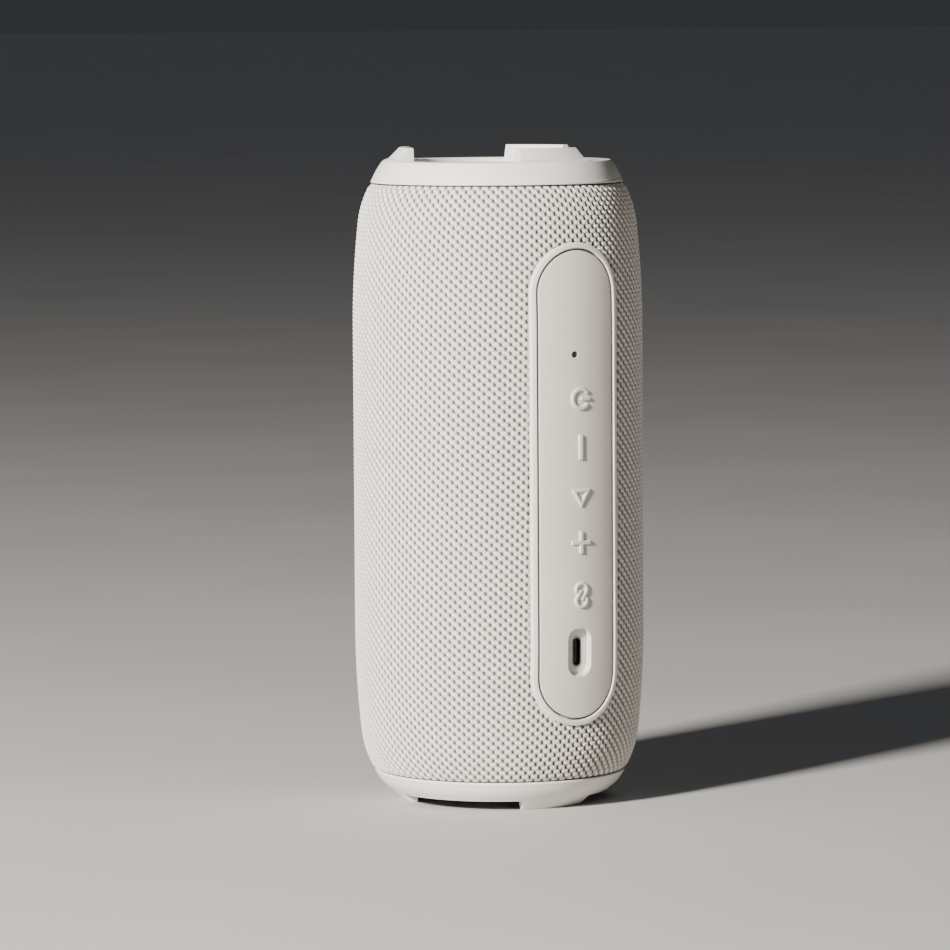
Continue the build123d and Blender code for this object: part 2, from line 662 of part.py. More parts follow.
for place, height in DRIVER_HEIGHTS.items():
    # Sections are drawn with local x along the driver's axis from the baffle's face, and y its radius.
    driver_plane = Plane(origin=(BAFFLE_FACE, 0, height), x_dir=(1, 0, 0), z_dir=(0, -1, 0))
    driver_axis = Axis((BAFFLE_FACE, 0, height), (1, 0, 0))
    turned_driver = partial(turned_piece, axis=driver_axis, plane=driver_plane)
    own_spots = [spot for spot in driver_spots if abs(spot[2] - height) < DRIVER_FLANGE / 2]

    with BuildPart() as driver_frame:
        with BuildSketch(Plane.YZ.offset(BAFFLE_FACE)):
            with Locations((0, height)):
                RectangleRounded(DRIVER_FLANGE, DRIVER_FLANGE, radius=5.0)
        extrude(amount=-DRIVER_FLANGE_THICKNESS)
        with BuildSketch(Plane.YZ.offset(BAFFLE_FACE)):
            with Locations((0, height)):
                Circle(21.6)
        extrude(amount=-DRIVER_FLANGE_THICKNESS, mode=Mode.SUBTRACT)
        with BuildSketch(Plane.YZ.offset(BAFFLE_FACE - 0.4)):
            with Locations((0, height)):
                Circle(23.4)
        extrude(amount=0.4 - DRIVER_FLANGE_THICKNESS, mode=Mode.SUBTRACT)
        turned_driver(
            [(-0.4, 21.6), (-0.4, 22.8), (0.4, 22.8), (14.4, 16.4), (17.2, 16.4), (17.2, 9.0)]
            + [(16.0, 9.0), (16.0, 15.2), (14.6, 15.2), (14.6, 13.2), (14.0, 13.2)]
            + [(14.0, 15.2), (0.4, 21.6)]
        )
        for turn in range(4):
            window_dir = Vector(0, cos(radians(90 * turn)), sin(radians(90 * turn)))
            window = Plane(origin=(BAFFLE_FACE + 7.5, 0, height), x_dir=(1, 0, 0), z_dir=window_dir)
            with BuildSketch(window):
                RectangleRounded(7.0, 14.0, radius=2.0)
            extrude(amount=24, mode=Mode.SUBTRACT)
        with Locations((BAFFLE_FACE + 15.2, 17.5, height)):
            Box(4.0, 5.0, 6.0)
        screw_holes(own_spots, (1, 0, 0), 4.0, clearance=0.1)
    save(driver_frame, f"driver_frame_{place}")

    with BuildPart() as driver_magnet:
        turned_driver(
            [(15.0, 0), (26.0, 0), (26.0, 14.8), (17.2, 14.8), (17.2, 7.8), (19.2, 7.8)]
            + [(19.2, 9.0), (23.8, 9.0), (23.8, 6.0), (15.0, 6.0)]
        )
    save(driver_magnet, f"driver_magnet_{place}")

    with BuildPart() as driver_cone:
        turned_driver(
            [(-0.4, 18.2), (-0.4, 19.4), (0.2, 19.4), (0.3, 18.8), (10.4, 7.2), (22.0, 7.2)]
            + [(22.0, 6.8), (9.9, 6.8), (7.9, 4.8), (6.9, 2.6), (6.6, 0), (6.2, 0)]
            + [(6.5, 2.8), (7.5, 5.0), (9.1, 7.0)]
        )
    save(driver_cone, f"driver_cone_{place}")

    with BuildPart() as driver_surround:
        with BuildSketch(driver_plane):
            with BuildLine():
                CenterArc((-0.6, 20.55), 1.35, 90, 180)
                CenterArc((-0.6, 20.55), 0.95, 90, 180)
                Polyline((-0.6, 21.9), (-0.8, 21.9), (-0.8, 23.3), (-0.4, 23.3), (-0.4, 21.5), (-0.6, 21.5))
                Polyline((-0.6, 19.2), (-0.8, 19.2), (-0.8, 18.2), (-0.4, 18.2), (-0.4, 19.6), (-0.6, 19.6))
            make_face()
        revolve(axis=driver_axis)
    save(driver_surround, f"driver_surround_{place}")

    with BuildPart() as driver_spider:
        turned_driver([(13.6, 7.3), (13.6, 14.8), (14.0, 14.8), (14.0, 7.3)])
    save(driver_spider, f"driver_spider_{place}")

# ---------------------------------------------------------------- battery
with BuildPart() as battery_cradle:
    with Locations((CRADLE_BACK + CRADLE_PLATE[0] / 2, 0, MIDDLE)):
        Box(*CRADLE_PLATE)
    for side in (1, -1):
        shelf_z = MIDDLE + side * (CELL_LENGTH / 2 + 0.1 + CRADLE_SHELF[2] / 2)
        with Locations((CRADLE_BACK - CRADLE_SHELF[0] / 2, 0, shelf_z)):
            Box(*CRADLE_SHELF)
    screw_holes(cradle_screw_spots, (1, 0, 0), 4.0, clearance=0.1)
save(battery_cradle, "battery_cradle")

with BuildPart() as cradle_screws:
    screws(cradle_screw_spots, (1, 0, 0), 6.0)
save(cradle_screws, "cradle_screws")

for side, label in ((-1, "battery_cell_left"), (1, "battery_cell_right")):
    with BuildPart() as cell:
        with Locations((CELL_X, side * CELL_Y, MIDDLE)):
            Cylinder(CELL_RADIUS, CELL_LENGTH)
        fillet(cell.edges().filter_by(GeomType.CIRCLE), radius=0.8)
    save(cell, label)

# ---------------------------------------------------------------- main board and what is on it
with BuildPart() as main_board:
    with Locations((0, MAIN_BOARD_Y + MAIN_BOARD[1] / 2, MIDDLE)):
        Box(*MAIN_BOARD)
    screw_holes(board_screw_spots, (0, 1, 0), 4.0, clearance=0.1)
save(main_board, "main_board")

with BuildPart() as main_board_screws:
    screws(board_screw_spots, (0, 1, 0), 7.0)
save(main_board_screws, "main_board_screws")


def on_board(x, z, width, height, depth):
    """Block that stands on the inner face of the main board."""
    with Locations((x, MAIN_BOARD_Y - depth / 2, z)):
        Box(width, depth, height)


with BuildPart() as bluetooth_module:
    on_board(-7.5, MIDDLE + 22, 13.0, 18.0, 0.8)
    with Locations((-7.5, MAIN_BOARD_Y - 1.6, MIDDLE + 20)):
        Box(11.0, 1.6, 12.0)
save(bluetooth_module, "bluetooth_module")

connector_heights = [*DRIVER_HEIGHTS.values()]
battery_lead_height = MIDDLE + CELL_LENGTH / 2 + 0.1 + CRADLE_SHELF[2] / 2
with BuildPart() as board_connectors:
    for height in connector_heights:
        on_board(3.0, height, 6.0, 6.0, 3.0)
    on_board(12.0, battery_lead_height, 5.0, 6.0, 3.0)
    on_board(4.0, RIBBON_HEIGHT, 10.0, 3.0, 2.4)
save(board_connectors, "board_connectors")

with BuildPart() as board_components:
    for x, z in ((-9.0, MIDDLE - 22), (-9.0, MIDDLE - 10), (9.0, MIDDLE + 8)):
        with BuildSketch(Plane.XZ.offset(-MAIN_BOARD_Y)):
            with Locations((x, z)):
                Circle(3.4)
        extrude(amount=7.0)
    on_board(-3.0, MIDDLE - 2, 5.0, 7.0, 1.0)
save(board_components, "board_components")


# ---------------------------------------------------------------- internal leads
def lead(points, radius):
    """Round lead along straight runs joined by tangent arcs as large as the runs allow."""
    runs = [Vector(*end) - Vector(*start) for start, end in zip(points, points[1:])]
    bends = [
        0.45 * min(before.length, after.length) * cos(half) / sin(half)
        for before, after in zip(runs, runs[1:])
        for half in [radians(before.get_angle(after) / 2)]
    ]
    print("lead bend radii", [round(bend, 1) for bend in bends])
    with BuildLine() as route:
        FilletPolyline(*points, radius=bends)
    with BuildSketch(Plane(origin=route.line @ 0, z_dir=route.line % 0)) as section:
        Circle(radius)
    sweep(section.sketch, path=route.line)


with BuildPart() as driver_leads:
    for height in connector_heights:
        tab_face = BAFFLE_FACE + 17.2
        lead(
            [
                (tab_face, 18.0, height),
                (-1.0, 18.0, height),
                (3.0, 21.0, height),
                (3.0, MAIN_BOARD_Y - 3.0, height),
            ],
            LEAD_RADIUS,
        )
save(driver_leads, "driver_leads")

with BuildPart() as battery_lead:
    for x in (11.0, 13.0):
        with BuildSketch(Plane.XZ.offset(-CRADLE_SHELF[1] / 2)):
            with Locations((x, battery_lead_height)):
                Circle(LEAD_RADIUS)
        extrude(amount=-(MAIN_BOARD_Y - 3.0 - CRADLE_SHELF[1] / 2))
save(battery_lead, "battery_lead")

with BuildPart() as panel_ribbon:
    with BuildSketch(Plane.YZ) as ribbon_section:
        with BuildLine():
            FilletPolyline(
                (-board_back, RIBBON_HEIGHT),
                (-22.0, RIBBON_HEIGHT),
                (-4.0, RIBBON_HEIGHT - 6.0),
                (14.0, RIBBON_HEIGHT),
                (MAIN_BOARD_Y - 2.4, RIBBON_HEIGHT),
                radius=12.0,
            )
        trace(line_width=0.4)
    extrude(amount=8.0)
save(panel_ribbon, "panel_ribbon")
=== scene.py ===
import json
import math

import bpy
import numpy as np
from mathutils import Matrix, Vector


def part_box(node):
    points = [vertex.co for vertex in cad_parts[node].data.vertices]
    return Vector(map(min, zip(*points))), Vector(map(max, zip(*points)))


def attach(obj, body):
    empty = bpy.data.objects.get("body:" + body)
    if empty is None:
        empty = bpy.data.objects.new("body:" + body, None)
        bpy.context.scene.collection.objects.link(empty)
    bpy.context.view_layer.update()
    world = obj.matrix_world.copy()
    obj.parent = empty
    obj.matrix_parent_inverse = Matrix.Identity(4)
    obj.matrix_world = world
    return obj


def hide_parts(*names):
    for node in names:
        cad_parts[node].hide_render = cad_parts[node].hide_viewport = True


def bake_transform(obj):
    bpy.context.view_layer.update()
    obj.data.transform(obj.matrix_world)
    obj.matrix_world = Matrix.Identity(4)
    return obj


# The looks of a portable bluetooth speaker: a woven sleeve, two end rings with lugs, two passive
# radiators and a control panel. Metres. +Z is up, and the control panel faces -Y.

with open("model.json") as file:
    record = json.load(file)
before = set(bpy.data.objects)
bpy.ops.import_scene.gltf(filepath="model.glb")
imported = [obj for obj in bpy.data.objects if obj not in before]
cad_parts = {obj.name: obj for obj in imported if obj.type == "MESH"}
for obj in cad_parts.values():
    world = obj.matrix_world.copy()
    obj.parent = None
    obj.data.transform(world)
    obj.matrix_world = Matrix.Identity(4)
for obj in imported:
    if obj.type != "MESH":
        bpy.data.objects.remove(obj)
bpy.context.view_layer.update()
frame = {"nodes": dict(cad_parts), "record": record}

MM = 0.001

# ---------------------------------------------------------------- places from the frame
shell_low, shell_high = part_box("main_housing")
LOWER_SEAM, UPPER_SEAM = shell_low.z, shell_high.z
MIDDLE = (LOWER_SEAM + UPPER_SEAM) / 2
HALF_BARREL = (UPPER_SEAM - LOWER_SEAM) / 2
BARREL_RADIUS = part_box("fabric_sleeve")[1].y

# The barrel's side: straight at the waist, a long shoulder arc, then a tight roll.
TAPER_LENGTH = 44.0 * MM
SHOULDER_LENGTH = 32.0 * MM
SHOULDER_RADIUS = 300.0 * MM
ROLL_RADIUS = 30.6 * MM
STRAIGHT_HALF = HALF_BARREL - TAPER_LENGTH
SHOULDER_TURN = math.asin(SHOULDER_LENGTH / SHOULDER_RADIUS)
ROLL_X = BARREL_RADIUS - SHOULDER_RADIUS + (SHOULDER_RADIUS - ROLL_RADIUS) * math.cos(SHOULDER_TURN)
ROLL_Z = STRAIGHT_HALF + (SHOULDER_RADIUS - ROLL_RADIUS) * math.sin(SHOULDER_TURN)

# Weave: short oval beads in a staggered lattice, each tilted so that they join into slanted ribs,
# with an upright pinhole between every four of them.
WEAVE_COLUMNS = 178
WEAVE_ROW = 2.65 * MM
WEAVE_LEAN = 0.0245  # how far the columns of beads lean from upright, sideways per unit of height
WEAVE_DEPTH = 0.76 * MM
WEAVE_CROWN = 0.92  # relief that lies on the sleeve's nominal face
BEAD_TILT = math.radians(25)
BEAD_HALF_LENGTH = 1.62 * MM
BEAD_HALF_WIDTH = 0.97 * MM
HOLE_HALF_WIDTH = 0.43 * MM
HOLE_HALF_HEIGHT = 0.70 * MM
COLUMN_STEPS = 6
ROW_STEPS = 9
SEAM_GAP = 0.35 * MM
TUCK_DEPTH = 0.5 * MM
TUCK_WIDTH = 1.3 * MM
END_TUCK_WIDTH = 0.9 * MM
HEM_SHRINK = 0.972  # the hem under each end ring, against the row of points that it hangs from
HEM_TURN = 0.15 * MM
UNDER_BEZEL = 1.1 * MM  # how far the cloth goes on under the band

# Control panel.
bezel_low, bezel_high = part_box("panel_bezel")
BEZEL_HALF_LENGTH = (bezel_high.z - bezel_low.z) / 2
BEZEL_HALF_WIDTH = bezel_high.x
BEZEL_BAND = 1.75 * MM
BEZEL_PROUD = 0.45 * MM
BEZEL_EDGE = 0.5 * MM
BEZEL_DEPTH = 1.6 * MM
pad_low, pad_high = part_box("control_pad")
PAD_INSET = 0.12 * MM  # widens the groove round the pad
PAD_HALF_LENGTH = (pad_high.z - pad_low.z) / 2 - PAD_INSET
PAD_HALF_WIDTH = pad_high.x - PAD_INSET
PAD_EDGE = 0.35 * MM
PAD_RIM = 1.0 * MM
PAD_DEPTH = 1.6 * MM
KEY_HALF = 4.9 * MM
KEY_POINTS = 113
FLEX_HALF = 6.5 * MM
FLEX_STEPS = 9
FLEX_POINTS = 41
SLOT_POINTS = 360  # round the outline of the band or the pad
MARK_HEIGHT = 0.55 * MM
MARK_EDGE = 0.26 * MM
MIC_HOLE_RADIUS = 1.0 * MM
MIC_FLOOR_RADIUS = 0.86 * MM
SCREEN_RADIUS = 0.93 * MM
SCREEN_DEPTH = 0.25 * MM
RECESS_HALF_WIDTH = 4.0 * MM
RECESS_HALF_LENGTH = 7.1 * MM
RECESS_CORNER = 3.4 * MM
RECESS_DEPTH = 2.0 * MM
RECESS_WALL = 0.6 * MM
RECESS_LIP = 0.12 * MM  # how far outside its edge the recess starts to fall away
FINE_STEP = 0.13 * MM  # spacing of the pad's points at the recess
COARSE_STEP = 0.5 * MM
RECESS_STOP_X = 4.6 * MM  # how far from its middle the recess's fine columns of points reach
RECESS_STOP_Z = 7.8 * MM
MIC_STOP = 1.3 * MM
BUTTONS = ("power", "minus", "play", "plus", "link")

# End rings, outward from the seam.
RING_BORE = 27.4 * MM
SPIGOT_DEPTH = 3.0 * MM
LUG_SWEEP = math.radians(44)
LUG_ANGLES = [math.radians(angle) for angle in (270, 30, 150)]
LUG_SIDE = math.radians(1.3)
LUG_FOOT = 32.7 * MM  # radius where a lug meets the rim
LUG_TOP = 29.5 * MM
SEAT_WIDTH = 1.6 * MM  # of the ring's underside, which rests on the housing
SEAT_EDGE = 0.25 * MM
RIM_DROP = 0.5 * MM  # from the rim down to the end of the wall's arc
ARC_POINTS = 24
LIP_HEIGHT = 1.1 * MM  # a faint lip round the foot of each wall
LIP_STEP = 0.12 * MM

# Passive radiators, outward from the seam.
ROLL_SECTORS = 16
PASSIVE_ROLL_CENTRE = 21.9 * MM
PASSIVE_ROLL_RADIUS = 3.1 * MM
PASSIVE_PLATE_RADIUS = 18.0 * MM
ROLL_OVERLAP = 0.3 * MM
ROLL_POINTS = 22
SECTOR_STEPS = 10
PLATE_SECTORS = 160

# Stage, lights and camera.
FLOOR_HALF = 60.0
KEY_PLACE = (-1.74, -0.64, 0.86)
KEY_POWER = 132  # watts
KEY_SIZE = 0.22
KEY_COLOUR = (1, 0.965, 0.92)
BACK_PLACE = (0.5, 0.85, 0.8)
BACK_POWER = 0.16  # watts per square metre
BACK_SPREAD = math.radians(30)
BACK_COLOUR = (0.9, 0.95, 1)
SKY_COLOUR = (0.75, 0.8, 0.9, 1)
SKY_POWER = 0.045
CAMERA_LENS = 212.3  # millimetres, on a sensor 36 mm wide
CAMERA_AZIMUTH = math.radians(-33.23)
CAMERA_DISTANCE = 1.70
CAMERA_HEIGHT = 0.2393
CAMERA_ROLL = math.radians(-0.345)
AIM_LEFT = 7.15 * MM  # the point aimed at, left of the axis in the picture
AIM_HEIGHT = 98.77 * MM


# ---------------------------------------------------------------- barrel surface
def barrel_radius(height):
    """Radius of the fabric face at a height, for arrays of heights."""
    out = np.abs(np.asarray(height, float) - MIDDLE)
    along = np.clip(out - STRAIGHT_HALF, 0, SHOULDER_LENGTH)
    shoulder = BARREL_RADIUS - SHOULDER_RADIUS + np.sqrt(SHOULDER_RADIUS**2 - along**2)
    past = np.clip(out - ROLL_Z, 0, ROLL_RADIUS * 0.98)
    roll = ROLL_X + np.sqrt(ROLL_RADIUS**2 - past**2)
    return np.where(out > STRAIGHT_HALF + SHOULDER_LENGTH, roll, shoulder)


def on_panel(x, z, raised=0.0):
    """Points on the barrel, seen from -Y at x and z, raised above the fabric face."""
    radius = barrel_radius(z) + raised
    return np.stack([x, -np.sqrt(radius**2 - x**2), z], axis=-1)


def on_barrel(angle, z, raised=0.0):
    """Points on the barrel at an angle about the axis, raised above the fabric face."""
    radius = barrel_radius(z) + raised
    return np.stack([radius * np.cos(angle), radius * np.sin(angle), z], axis=-1)


# ---------------------------------------------------------------- mesh helpers
def grid_faces(rows, columns, wrap_rows=False, wrap_columns=False, keep=None, offset=0):
    """Four-sided faces of a grid of points, optionally closed on itself, less those not kept."""
    row_count = rows if wrap_rows else rows - 1
    column_count = columns if wrap_columns else columns - 1
    row, column = np.meshgrid(np.arange(row_count), np.arange(column_count), indexing="ij")
    next_row, next_column = (row + 1) % rows, (column + 1) % columns
    corners = [(row, column), (row, next_column), (next_row, next_column), (next_row, column)]
    faces = np.stack([r * columns + c for r, c in corners], axis=-1)
    if keep is not None:
        faces = faces[keep]
    return faces.reshape(-1, 4) + offset


def make_mesh(name, points, faces, attributes=None):
    """Smooth-shaded mesh object from arrays of points and four-sided faces."""
    points = np.asarray(points, float).reshape(-1, 3)
    used, faces = np.unique(faces, return_inverse=True)
    faces = faces.reshape(-1, 4)
    points = points[used]
    mesh = bpy.data.meshes.new(name)
    mesh.vertices.add(len(points))
    mesh.vertices.foreach_set("co", points.astype(np.float32).ravel())
    mesh.loops.add(faces.size)
    mesh.loops.foreach_set("vertex_index", faces.astype(np.int32).ravel())
    mesh.polygons.add(len(faces))
    mesh.polygons.foreach_set("loop_start", np.arange(0, faces.size, 4, dtype=np.int32))
    mesh.polygons.foreach_set("use_smooth", np.ones(len(faces), bool))
    mesh.update(calc_edges=True)
    mesh.validate()
    for label, values in (attributes or {}).items():
        layer = mesh.attributes.new(label, "FLOAT", "POINT")
        layer.data.foreach_set("value", np.asarray(values, np.float32).ravel()[used])
    piece = bpy.data.objects.new(name, mesh)
    bpy.context.scene.collection.objects.link(piece)
    return piece


def spin(name, contour, sectors=256, start=0.0, sweep=math.tau):
    """Turn a contour of (radius, height) points about the Z axis."""
    closed = sweep >= math.tau
    angles = start + sweep * np.arange(sectors if closed else sectors + 1) / sectors
    radius, height = np.asarray(contour, float).T
    points = np.stack(
        [
            np.outer(np.cos(angles), radius),
            np.outer(np.sin(angles), radius),
            np.broadcast_to(height, (len(angles), len(height))),
        ],
        axis=-1,
    )
    return make_mesh(name, points, grid_faces(len(angles), len(radius), wrap_rows=closed))


def smoothstep(low, high, value):
    """0 at low and 1 at high, with an even curve between them."""
    share = np.clip((value - low) / (high - low), 0, 1)
    return share * share * (3 - 2 * share)


def rounded(corners, radii, steps=6):
    """Polyline through corners, each rounded by its radius with a fixed number of points."""
    corners = [np.asarray(corner, float) for corner in corners]
    line = [corners[0]]
    for before, corner, after, radius in zip(corners, corners[1:], corners[2:], radii):
        back, ahead = before - corner, after - corner
        reach = min(np.linalg.norm(back), np.linalg.norm(ahead)) * 0.49
        back, ahead = back / np.linalg.norm(back), ahead / np.linalg.norm(ahead)
        half = math.acos(np.clip(back @ ahead, -1, 1)) / 2
        cut = min(radius / np.clip(math.tan(half), 1e-6, 2.0), reach)
        first, last = corner + back * cut, corner + ahead * cut
        for share in np.linspace(0, 1, steps):
            line.append(
                (1 - share) ** 2 * first + 2 * share * (1 - share) * corner + share**2 * last
            )
    line.append(corners[-1])
    return np.array(line)


def spaced(stops, steps):
    """Ascending values that hit every stop, with the given largest step between each pair."""
    values = [
        np.linspace(low, high, max(2, math.ceil((high - low) / step) + 1))[:-1]
        for low, high, step in zip(stops, stops[1:], steps)
    ]
    return np.append(np.concatenate(values), stops[-1])


# ---------------------------------------------------------------- flat distance fields
def box_distance(x, z, half_x, half_z, radius):
    """Signed distance to a rectangle with rounded corners."""
    out_x, out_z = np.abs(x) - half_x + radius, np.abs(z) - half_z + radius
    outside = np.hypot(np.maximum(out_x, 0), np.maximum(out_z, 0))
    return outside + np.minimum(np.maximum(out_x, out_z), 0) - radius


def segment_distance(x, z, start, end):
    """Distance to a straight line between two points."""
    (start_x, start_z), (end_x, end_z) = start, end
    along_x, along_z = end_x - start_x, end_z - start_z
    share = ((x - start_x) * along_x + (z - start_z) * along_z) / (along_x**2 + along_z**2)
    share = np.clip(share, 0, 1)
    return np.hypot(x - start_x - share * along_x, z - start_z - share * along_z)


def power_mark(x, z):
    """Open ring with a bar through its gap, turned a quarter to the right."""
    gap = math.radians(41)
    radius, half_stroke = 2.85 * MM, 0.52 * MM
    angle = np.abs(np.arctan2(z, x))
    end_x, end_z = radius * math.cos(gap), radius * math.sin(gap)
    ring = np.where(
        angle > gap, np.abs(np.hypot(x, z) - radius), np.hypot(x - end_x, np.abs(z) - end_z)
    )
    bar = segment_distance(x, z, (0.4 * MM, 0), (2.9 * MM, 0))
    return np.minimum(ring, bar) - half_stroke


def minus_mark(x, z):
    return box_distance(x, z, 0.68 * MM, 3.7 * MM, 0.2 * MM)


def play_mark(x, z):
    """Outlined triangle that points down."""
    half_width, top, tip, stroke = 3.35 * MM, 2.55 * MM, 2.75 * MM, 0.9 * MM
    slope = math.hypot(half_width, top + tip)
    sides = ((np.abs(x) - half_width) * (top + tip) + (top - z) * half_width) / slope
    outer = np.maximum(sides, z - top)
    return np.abs(outer + stroke / 2) - stroke / 2


def plus_mark(x, z):
    upright = box_distance(x, z, 0.6 * MM, 3.35 * MM, 0.2 * MM)
    across = box_distance(x, z, 3.35 * MM, 0.6 * MM, 0.2 * MM)
    return np.minimum(upright, across)


def link_mark(x, z):
    """Two open hooks, one turned half round from the other, whose slanted ends run side by side."""
    radius, rise, drop, half_stroke = 1.9 * MM, 1.62 * MM, 0.5 * MM, 0.47 * MM
    spine = np.full(np.shape(x), np.inf)
    for side in (1, -1):
        own_x, own_z = side * x, side * z
        bend = np.where(
            own_z > rise - drop, np.abs(np.hypot(own_x, own_z - rise) - radius), np.inf
        )
        slant = segment_distance(own_x, own_z, (1.83 * MM, rise - drop), (0.36 * MM, -1.2 * MM))
        short_end = np.hypot(own_x + 1.83 * MM, own_z - rise + drop)
        spine = np.minimum(spine, np.minimum(bend, np.minimum(slant, short_end)))
    return spine - half_stroke


MARKS = {
    "power": power_mark,
    "minus": minus_mark,
    "play": play_mark,
    "plus": plus_mark,
    "link": link_mark,
}


# ---------------------------------------------------------------- materials
def new_material(name, **sockets):
    """Material with a principled shader; uniform values go straight onto its sockets."""
    material = bpy.data.materials.new(name)
    material.use_nodes = True
    shader = material.node_tree.nodes["Principled BSDF"]
    for socket, value in sockets.items():
        shader.inputs[socket.replace("_", " ")].default_value = value
    return material, material.node_tree, shader


def add_node(tree, kind, inputs=None, **settings):
    """Node of a kind, with settings and with inputs given as values or as other sockets."""
    node = tree.nodes.new(kind)
    for key, value in settings.items():
        setattr(node, key, value)
    for key, value in (inputs or {}).items():
        if isinstance(value, bpy.types.NodeSocket):
            tree.links.new(value, node.inputs[key])
        else:
            node.inputs[key].default_value = value
    return node


def place_of(tree, stretch=(1, 1, 1)):
    """Position in the object's own frame, in metres, stretched per axis."""
    place = add_node(tree, "ShaderNodeTexCoord")
    return add_node(
        tree, "ShaderNodeMapping", {"Vector": place.outputs["Object"], "Scale": stretch}
    ).outputs[0]


def noise(tree, scale, detail=3.0, stretch=(1, 1, 1)):
    """Noise value with features about 1/scale metres across."""
    inputs = {"Vector": place_of(tree, stretch), "Scale": scale, "Detail": detail}
    return add_node(tree, "ShaderNodeTexNoise", inputs).outputs["Fac"]


def ramp(tree, value, stops):
    """Colour ramp of (position, colour) stops."""
    node = add_node(tree, "ShaderNodeValToRGB", {"Fac": value})
    elements = node.color_ramp.elements
    while len(elements) < len(stops):
        elements.new(0.5)
    for element, (position, colour) in zip(elements, stops):
        element.position = position
        element.color = (*colour, 1)
    return node.outputs["Color"]


def spread(tree, value, low, high):
    """Map a value from about the noise's own span to low and high."""
    inputs = {"Value": value, "From Min": 0.3, "From Max": 0.7, "To Min": low, "To Max": high}
    return add_node(tree, "ShaderNodeMapRange", inputs).outputs["Result"]


def bump(tree, shader, height, distance):
    """Fine relief on a shader's normal, from a height value."""
    inputs = {"Height": height, "Distance": distance, "Strength": 1.0}
    node = add_node(tree, "ShaderNodeBump", inputs)
    tree.links.new(node.outputs["Normal"], shader.inputs["Normal"])


def moulded(name, colour, roughness, grain=2500.0, grain_depth=0.02 * MM, shift=0.05, **sockets):
    """Moulded plastic or rubber: a fine grain, faint cloudy colour and uneven gloss."""
    material, tree, shader = new_material(name, **sockets)
    darker = tuple(channel * (1 - shift) for channel in colour)
    cloud = noise(tree, 60.0, 2.0)
    colours = ramp(tree, cloud, [(0.35, darker), (0.65, colour)])
    tree.links.new(colours, shader.inputs["Base Color"])
    gloss = spread(tree, noise(tree, 400.0), roughness - 0.05, roughness + 0.06)
    tree.links.new(gloss, shader.inputs["Roughness"])
    bump(tree, shader, noise(tree, grain, 2.0), grain_depth)
    return material


def metal(name, colour, roughness):
    """Brushed or stamped metal with fine streaks and duller patches."""
    material, tree, shader = new_material(name, Metallic=1.0)
    darker = tuple(channel * 0.8 for channel in colour)
    streaks = noise(tree, 1500.0, 3.0, (1, 1, 12))
    tree.links.new(ramp(tree, streaks, [(0.3, darker), (0.7, colour)]), shader.inputs["Base Color"])
    gloss = spread(tree, noise(tree, 300.0), roughness - 0.08, roughness + 0.1)
    tree.links.new(gloss, shader.inputs["Roughness"])
    bump(tree, shader, streaks, 0.01 * MM)
    return material


def woven_cover():
    """Woven polyester: pale beads, with painted shade darkening the grooves and pinholes between
    them, and fine fibres along each bead.
    """
    material, tree, shader = new_material(
        "woven_cover", Sheen_Weight=0.25, Sheen_Roughness=0.5, Specular_IOR_Level=0.25
    )
    relief = add_node(tree, "ShaderNodeAttribute", attribute_name="relief").outputs["Fac"]
    # Colour follows the relief: the grooves get painted shade, and the pinholes get a dark that is
    # partly painted shade and partly the dark housing seen through them.
    pale, shade, hole = (0.81, 0.765, 0.71), (0.47, 0.43, 0.385), (0.055, 0.047, 0.04)
    weave = ramp(tree, relief, [(0.05, hole), (0.42, shade), (0.80, pale), (1.0, pale)])
    tint = ramp(tree, noise(tree, 420.0, 2.0), [(0.3, (0.93, 0.93, 0.93)), (0.7, (1, 1, 1))])
    inputs = {0: 1.0, 6: weave, 7: tint}
    colours = add_node(tree, "ShaderNodeMix", inputs, data_type="RGBA", blend_type="MULTIPLY")
    tree.links.new(colours.outputs[2], shader.inputs["Base Color"])
    fibres = noise(tree, 1.0, 2.0, (9000, 9000, 1800))
    gloss = spread(tree, fibres, 0.72, 0.92)
    tree.links.new(gloss, shader.inputs["Roughness"])
    bump(tree, shader, fibres, 0.05 * MM)
    return material


def circuit_board():
    """Green solder mask with fainter lines of copper under it."""
    material, tree, shader = new_material("circuit_board", Roughness=0.35)
    tracks = add_node(
        tree, "ShaderNodeTexBrick", {"Vector": place_of(tree), "Scale": 400.0, "Mortar Size": 0.03}
    )
    green, track = (0.012, 0.10, 0.045), (0.03, 0.20, 0.09)
    colours = ramp(tree, tracks.outputs["Fac"], [(0.4, green), (0.6, track)])
    tree.links.new(colours, shader.inputs["Base Color"])
    bump(tree, shader, tracks.outputs["Fac"], 0.03 * MM)
    return material


FABRIC = woven_cover()
RING = moulded("ring_plastic", (0.84, 0.805, 0.75), 0.46, shift=0.025)
BEZEL = moulded("bezel_plastic", (0.83, 0.795, 0.735), 0.38, shift=0.025)
PAD = moulded(
    "pad_silicone",
    (0.71, 0.668, 0.585),
    0.42,
    grain=3500.0,
    grain_depth=0.012 * MM,
    shift=0.03,
)
HOUSING = moulded("housing_plastic", (0.03, 0.03, 0.032), 0.55)
RUBBER = moulded("black_rubber", (0.022, 0.022, 0.022), 0.6)
PLATE = moulded("radiator_plate", (0.60, 0.585, 0.56), 0.35, shift=0.04)
BLACK_PART = moulded("black_part", (0.02, 0.02, 0.02), 0.4)
CREAM_PART = moulded("cream_part", (0.70, 0.66, 0.55), 0.4)
CELL_WRAP = moulded("cell_wrap", (0.02, 0.13, 0.36), 0.3)
LEADS = moulded("lead_insulation", (0.45, 0.02, 0.015), 0.4)
CONE = moulded("cone_paper", (0.045, 0.043, 0.04), 0.8, grain=1200.0, grain_depth=0.08 * MM)
SPIDER = moulded("spider_cloth", (0.50, 0.33, 0.12), 0.85, grain=1500.0, grain_depth=0.08 * MM)
COATED_STEEL = moulded("coated_steel", (0.03, 0.03, 0.034), 0.4, Metallic=0.6)
SCREW_STEEL = metal("screw_steel", (0.55, 0.55, 0.56), 0.35)
PORT_STEEL = metal("port_steel", (0.62, 0.60, 0.57), 0.28)
